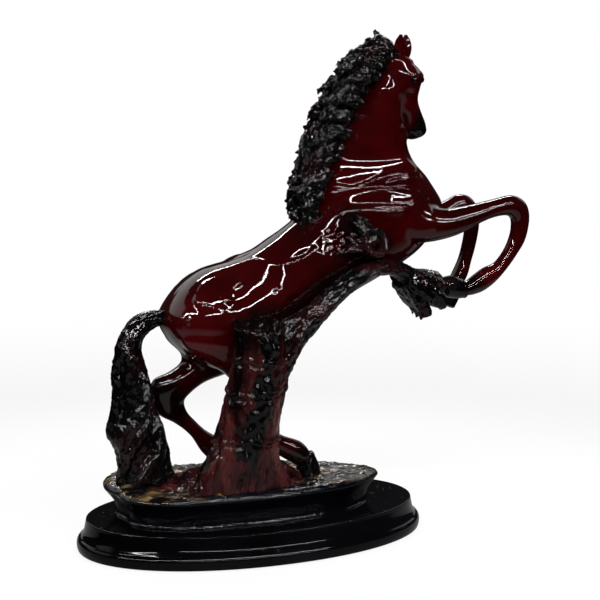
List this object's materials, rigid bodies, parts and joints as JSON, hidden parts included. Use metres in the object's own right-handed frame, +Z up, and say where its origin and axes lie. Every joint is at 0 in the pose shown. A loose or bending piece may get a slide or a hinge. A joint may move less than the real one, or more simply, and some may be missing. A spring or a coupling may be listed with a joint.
{
  "type": "animal figurine",
  "caption": "Glossy rearing horse figurine held up by a broken tree trunk, with a carved mane and a long tail, on uneven ground and a stepped oval plinth.",
  "frame": {"origin": "centre of the underside of the felt, on the middle of the oval plinth", "axes": "+Z up, +X the way the horse faces along the plinth, +Y its left side; the tree stands on the -Y side"},
  "size_m": [0.2437, 0.1106, 0.2531],
  "materials": {
    "horse_red": "high gloss lacquer, deep burgundy",
    "gloss_black": "high gloss lacquer, black",
    "bark_red": "high gloss lacquer, burgundy with a black wash",
    "ground_paint": "glossy black with brushed ochre",
    "leaf_paint": "brushed ochre and gold paint",
    "eye_black": "high gloss black",
    "felt": "black felt",
    "steel": "bright zinc plated",
    "beech": "plain beech"
  },
  "bodies": {
    "root": {"felt_pad": "felt", "plinth": "gloss_black", "base_screws": "steel", "ground_mound": "ground_paint", "grass_tufts": "leaf_paint", "tree_trunk": "bark_red", "trunk_dowel": "beech", "tree_branch": "gloss_black", "branch_knot": "gloss_black", "branch_tip": "gloss_black", "horse_torso": "horse_red", "horse_neck": "horse_red", "horse_head": "horse_red", "right_ear": "horse_red", "left_ear": "horse_red", "right_eye": "eye_black", "left_eye": "eye_black", "mane": "gloss_black", "forelock": "gloss_black", "tail": "gloss_black", "right_foreleg": "horse_red", "left_foreleg": "horse_red", "right_hind_leg": "horse_red", "left_hind_leg": "horse_red", "right_fore_hoof": "gloss_black", "left_fore_hoof": "gloss_black", "right_hind_hoof": "gloss_black", "left_hind_hoof": "gloss_black", "right_hind_pin": "steel", "left_hind_pin": "steel"}
  },
  "joints": []
}
